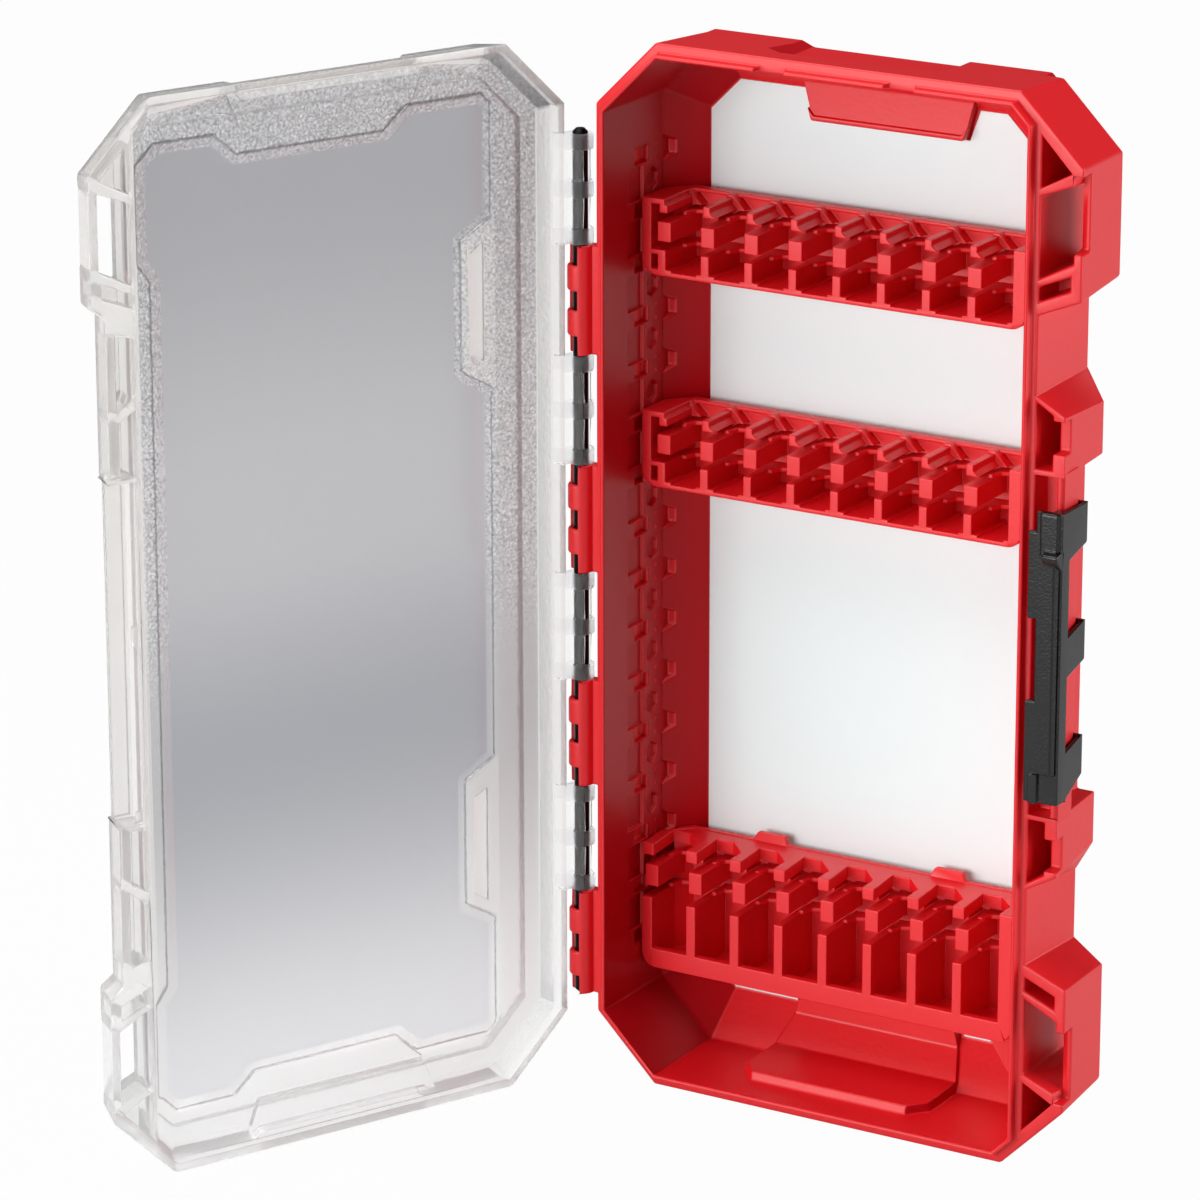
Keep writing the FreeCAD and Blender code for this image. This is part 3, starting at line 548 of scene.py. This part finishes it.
# %% Room beside an edge
OFF_THE_EDGE = 2e-5
PAST_THE_END = 0.0003
NO_LIMIT = 1.0


def room_beside(loop, corners):
    start = loop.vert.co
    run = loop.link_loop_next.vert.co - start
    length = run.length
    along = run / length
    inward = loop.face.normal.cross(along)
    room = NO_LIMIT
    for corner in corners:
        reach = corner - start
        off = reach.dot(inward)
        beside = -PAST_THE_END < reach.dot(along) < length + PAST_THE_END
        if OFF_THE_EDGE < off < room and beside:
            room = off
    return room


def room_at_ends(edge, sharp, plane, narrow):
    room = NO_LIMIT
    planes = {face[plane] for face in edge.link_faces}
    for vert in edge.verts:
        out = edge.other_vert(vert).co - vert.co
        for other in sharp.intersection(vert.link_edges):
            away = other.other_vert(vert).co - vert.co
            if other != edge and planes.intersection(face[plane] for face in other.link_faces):
                turn = out.angle(away)
                if turn < narrow:
                    room = min(room, min(out.length, away.length) * math.tan(turn / 2))
    return room


def room_round(vert, sharp, members, plane):
    steps = {edge.other_vert(vert) for edge in sharp.intersection(vert.link_edges)}
    for step in list(steps):
        steps.update(edge.other_vert(step) for edge in sharp.intersection(step.link_edges))
    around = set()
    for number in {face[plane] for face in vert.link_faces}:
        around |= members[number]
    near = around - steps - {vert}
    return min(((other.co - vert.co).length for other in near), default=NO_LIMIT)


print("room is measured up to", NO_LIMIT, "m")

# %% [markdown]
# A Bevel modifier will round the sharp edges, and a weight on each edge tells it how wide. The
# weight is a share of the room there. An edge with hardly any room stays sharp.

# %% Edge weights
SHARP_ANGLE = math.radians(24)
ROOM_SHARE = 0.4
LEAST_WEIGHT = 0.12


def weigh_edges(shape, width, narrow):
    layer = shape.edges.layers.float.new("bevel_weight_edge")
    plane = shape.faces.layers.int["plane"]
    members = {}
    for face in shape.faces:
        members.setdefault(face[plane], set()).update(face.verts)
    corners = {number: [vert.co.copy() for vert in verts] for number, verts in members.items()}
    sharp = {edge for edge in shape.edges if edge.calc_face_angle(0.0) > SHARP_ANGLE}
    rounded = 0
    for edge in shape.edges:
        edge.smooth = True
    free = {vert: room_round(vert, sharp, members, plane) for edge in sharp for vert in edge.verts}
    for edge in sharp:
        room = min(room_beside(loop, corners[loop.face[plane]]) for loop in edge.link_loops)
        at_ends = room_at_ends(edge, sharp, plane, narrow)
        room = min(room, at_ends, *(free[vert] for vert in edge.verts))
        weight = min(1.0, ROOM_SHARE * room / width)
        if weight > LEAST_WEIGHT:
            edge[layer] = weight
            rounded += 1
        else:
            edge.smooth = False
    shape.faces.layers.int.remove(plane)
    return rounded


print("sharp above", round(math.degrees(SHARP_ANGLE)), "degrees")

# %% [markdown]
# The case has eight pieces: tray, lid, latch, three rails, pin and card. They could be modelled
# anew, but the CAD solids have the right forms already, so each piece is a copy of its solid. The
# copy gets its material and its rounding, rides on the body that carries the CAD node, and then
# stands for the node. The latch has short lips that meet at wide angles, so for it a wider angle
# counts as narrow.

# %% Moulded copies of the solids
NARROW = math.radians(70)
LATCH_NARROW = math.radians(115)


def moulded(node, name, material, width, narrow=NARROW):
    shape = merged_copy(node)
    rounded = weigh_edges(shape, width, narrow)
    for face in shape.faces:
        face.smooth = True
    mesh = bpy.data.meshes.new(name)
    shape.to_mesh(mesh)
    shape.free()
    mesh.materials.append(material)
    piece = bpy.data.objects.new(name, mesh)
    bpy.context.scene.collection.objects.link(piece)
    bevel = piece.modifiers.new("SoftEdge", "BEVEL")
    bevel.width = width
    bevel.segments = 2
    bevel.limit_method = "WEIGHT"
    bevel.harden_normals = True
    bevel.use_clamp_overlap = False
    level = piece.modifiers.new("FlatFaces", "WEIGHTED_NORMAL")
    level.keep_sharp = True
    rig.ride(piece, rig.body_of(frame["nodes"][node])[0])
    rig.replaces(piece, node)
    print(name, len(mesh.polygons), "faces,", rounded, "rounded edges")
    return piece


tray = moulded("base_shell", "Tray", red_plastic, width=0.0006)
lid = moulded("lid_shell", "Lid", lid_edge, width=0.0005)
moulded("slide_latch", "SlideLatch", black_plastic, width=0.0011, narrow=LATCH_NARROW)
moulded("upper_bit_rail", "UpperRail", red_plastic, width=0.0003)
moulded("middle_bit_rail", "MiddleRail", red_plastic, width=0.0003)
moulded("lower_bit_rail", "LowerRail", red_plastic, width=0.0003)
moulded("hinge_pin", "HingePin", steel_wire, width=0.0002)
moulded("backing_card", "BackingCard", card_paper, width=0.0001)

# %% [markdown]
# The tray's inner walls are smoother than its outside, and darker as painted shade, where little light reaches them.
# They are the faces behind the rim, between the side walls, that look right or down and not straight to the front.

# %% Finish and painted shade of the tray's inside
INSIDE = 1
INSIDE_ACROSS = (-0.0285, 0.083)
INSIDE_FRONT = 0.0415
TO_THE_FRONT = 0.75
ASIDE = 0.3


def within(value, limits):
    return limits[0] < value < limits[1]


# The inner walls get the darker red, which is painted shade.
tray.data.materials.append(red_inside_painted_shade)
inside_count = 0
for face in tray.data.polygons:
    between = within(face.center.x, INSIDE_ACROSS) and face.center.y > INSIDE_FRONT
    right_or_down = face.normal.x > ASIDE or face.normal.z < -ASIDE
    if between and abs(face.normal.y) < TO_THE_FRONT and right_or_down:
        face.material_index = INSIDE
        inside_count += 1
print("inner faces of the tray", inside_count)

# %% [markdown]
# The lid's faces get their finish by where they lie when it is shut. A face is turned back about the hinge, and its
# depth in front of the tray tells the sunk middle from the border. The slots in the middle's pads get the bright edge
# finish as a painted highlight, and the knuckles lie close round the hinge axis.

# %% Finishes of the lid, with a painted highlight in the slots
EDGE, PANEL, BORDER, KNUCKLE = range(4)
OPENING = math.radians(115.1)
PANEL_DEPTHS = (0.0063, 0.0082)
DEPTH_PLAY = 0.0002
FACES_OUT = 0.98
SLOT_ACROSS = (0.0194, 0.0244)
SLOT_OFF_MIDDLE = 0.0674
SLOT_HALF_HEIGHT = 0.0125
MID_HEIGHT = 0.131
BORDER_ACROSS = (0.004, 0.1135)
BORDER_HEIGHTS = (0.004, 0.258)
BORDER_DEPTH = 0.0028
KNUCKLE_RADIUS = 0.0045


def when_shut(point):
    """Place of a lid point when the lid is shut: across the tray, and in front of its rim."""
    back = Matrix.Rotation(OPENING, 3, "Z") @ (Vector(point) - hinge_axis)
    return back.x - PIN_TO_CORNER, -back.y


def lid_finish(face):
    across, depth = when_shut(face.center)
    height = face.center.z
    if within(across, BORDER_ACROSS) and within(height, BORDER_HEIGHTS) and depth > BORDER_DEPTH:
        flat = abs(when_shut(face.center + face.normal)[1] - depth) > FACES_OUT
        if flat and min(abs(depth - level) for level in PANEL_DEPTHS) < DEPTH_PLAY:
            return PANEL
        # Faces in the pads' slots get the bright edge finish as a painted highlight.
        off_slot = abs(abs(height - MID_HEIGHT) - SLOT_OFF_MIDDLE)
        slot_painted_highlight = within(across, SLOT_ACROSS) and off_slot < SLOT_HALF_HEIGHT
        return EDGE if slot_painted_highlight else BORDER
    near_axis = (face.center - hinge_axis).xy.length < KNUCKLE_RADIUS
    return KNUCKLE if near_axis else EDGE


for finish in (lid_panel, lid_border, lid_knuckle):
    lid.data.materials.append(finish)
finish_counts = [0, 0, 0, 0]
for face in lid.data.polygons:
    face.material_index = lid_finish(face)
    finish_counts[face.material_index] += 1
print("edge, middle, border and knuckle faces", finish_counts)

# %% [markdown]
# The camera stands where the photographer stood: about 1.5 m away with a long lens, a third of the
# way round to the right side and a little above. A long lens keeps the upright edges nearly
# parallel.

# %% Camera
AZIMUTH = math.radians(31.07)
ELEVATION = math.radians(18.03)
ROLL = math.radians(-0.1)
DISTANCE = 1.4718
AIM_FROM_CORNER = (0.00103, 0.0, 0.12286)


def photo_camera():
    away = Vector((math.sin(AZIMUTH) * math.cos(ELEVATION),
                   -math.cos(AZIMUTH) * math.cos(ELEVATION),
                   math.sin(ELEVATION)))
    aim = case_corner + Vector(AIM_FROM_CORNER)
    lens = bpy.data.cameras.new("PhotoCamera")
    lens.sensor_width = 36.0
    lens.lens = 183.0
    lens.clip_start = 0.05
    camera = bpy.data.objects.new("PhotoCamera", lens)
    turn = away.to_track_quat("Z", "Y").to_matrix().to_4x4()
    roll = Matrix.Rotation(ROLL, 4, "Z")
    camera.matrix_world = Matrix.Translation(aim + away * DISTANCE) @ turn @ roll
    bpy.context.scene.collection.objects.link(camera)
    bpy.context.scene.camera = camera
    return camera


camera = photo_camera()
print("camera at", [round(v, 3) for v in camera.matrix_world.translation])

# %% [markdown]
# The case stands on white paper in front of white. The world looks white to the camera and through
# the lid, because of a Light Path switch, while the light that falls on the case stays at a plain
# level. In mirrored light it is much darker, so that it doesn't veil the plastics.

# %% White surroundings
WHITE = (1.0, 1.0, 1.0, 1.0)
AMBIENT_STRENGTH = 0.04
WORLD_SHARES = (("Is Camera Ray", 1.0), ("Is Transmission Ray", 1.0), ("Is Glossy Ray", 0.06))


def shown_white(tree, shader, output_node, glow_kind, shares):
    """Mixes a white glow over a shader for the listed kinds of ray, each with its own share."""
    path = tree.nodes.new("ShaderNodeLightPath")
    glow = tree.nodes.new(glow_kind)
    glow.inputs["Color"].default_value = WHITE
    glow.inputs["Strength"].default_value = 1.0
    seen = None
    for ray, share in shares:
        part = add_math(tree, "MULTIPLY", None, share)
        most = add_math(tree, "MAXIMUM", 0.0)
        wire(tree, path, ray, part, 0)
        wire(tree, part, 0, most, 1)
        if seen:
            wire(tree, seen, 0, most, 0)
        seen = most
    mix = tree.nodes.new("ShaderNodeMixShader")
    wire(tree, seen, 0, mix, 0)
    wire(tree, shader, 0, mix, 1)
    wire(tree, glow, 0, mix, 2)
    wire(tree, mix, 0, output_node, "Surface")


world = bpy.data.worlds.new("Studio")
bpy.context.scene.world = world
world.use_nodes = True
ambient = world.node_tree.nodes["Background"]
ambient.inputs["Color"].default_value = WHITE
ambient.inputs["Strength"].default_value = AMBIENT_STRENGTH
shown_white(world.node_tree, ambient, world.node_tree.nodes["World Output"],
            "ShaderNodeBackground", WORLD_SHARES)
print("world", world.name)

# %% [markdown]
# The floor has the same switch. It keeps a trace of its own shading, and with it a faint shadow of
# the case.

# %% Floor
FLOOR_SHARES = (("Is Camera Ray", 0.97), ("Is Transmission Ray", 0.97), ("Is Glossy Ray", 0.35))
FLOOR_HALF = 4.0
FLOOR_DROP = 0.0005
floor_shape = bmesh.new()
bmesh.ops.create_grid(floor_shape, x_segments=1, y_segments=1, size=FLOOR_HALF)
bmesh.ops.translate(floor_shape, verts=floor_shape.verts, vec=(0.0, 0.0, -FLOOR_DROP))
floor_mesh = bpy.data.meshes.new("Floor")
floor_shape.to_mesh(floor_mesh)
floor_shape.free()
floor = bpy.data.objects.new("Floor", floor_mesh)
bpy.context.scene.collection.objects.link(floor)
floor_paint = bpy.data.materials.new("FloorPaint")
floor_paint.use_nodes = True
set_shader(floor_paint, {"Base Color": (0.6, 0.6, 0.6, 1.0), "Roughness": 0.8})
floor_nodes = floor_paint.node_tree.nodes
shown_white(floor_paint.node_tree, floor_nodes["Principled BSDF"], floor_nodes["Material Output"],
            "ShaderNodeEmission", FLOOR_SHARES)
floor_mesh.materials.append(floor_paint)
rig.stage(floor)
print("floor", floor_mesh.name)

# %% [markdown]
# Four soft boxes light the case. The key stands at the front left, a little higher than the case,
# where the front faces mirror it to the camera. A fill straight in front, higher still, lights the
# card evenly and leaves the tray's side walls in the dark, as in the photograph. One from the
# right, a little behind, lights the latch side, and one above lights what faces up.

# %% Lamps
LAMP_AIM = Vector((0.0, 0.0, 0.13))


def soft_box(name, place, width, height, watts):
    light = bpy.data.lights.new(name, "AREA")
    light.shape = "RECTANGLE"
    light.size = width
    light.size_y = height
    light.energy = watts
    lamp = bpy.data.objects.new(name, light)
    lamp.location = place
    lamp.rotation_euler = (LAMP_AIM - Vector(place)).to_track_quat("-Z", "Y").to_euler()
    bpy.context.scene.collection.objects.link(lamp)
    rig.stage(lamp)


soft_box("KeyLight", (-0.68, -1.45, 0.34), width=1.1, height=0.6, watts=12.0)
soft_box("FrontFill", (-0.1, -1.6, 0.45), width=0.8, height=0.8, watts=10.0)
soft_box("RightLight", (1.35, 0.6, 0.35), width=1.0, height=0.9, watts=18.0)
soft_box("TopLight", (-0.3, -0.2, 1.3), width=1.3, height=1.1, watts=14.5)
bpy.context.scene.view_settings.view_transform = "Standard"
print("lamps", [o.name for o in bpy.data.objects if o.type == "LIGHT"])

# %% [markdown]
# Last, the outer size of the dressed model is written beside the CAD model's, so that the two can
# be compared after each render.

# %% Finish
with open("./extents.json", "w") as size_file:
    json.dump({"cad": [list(v) for v in cad_box], "dressed": [list(v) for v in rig.bounds()]}, size_file)
print("size", json.load(open("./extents.json")))
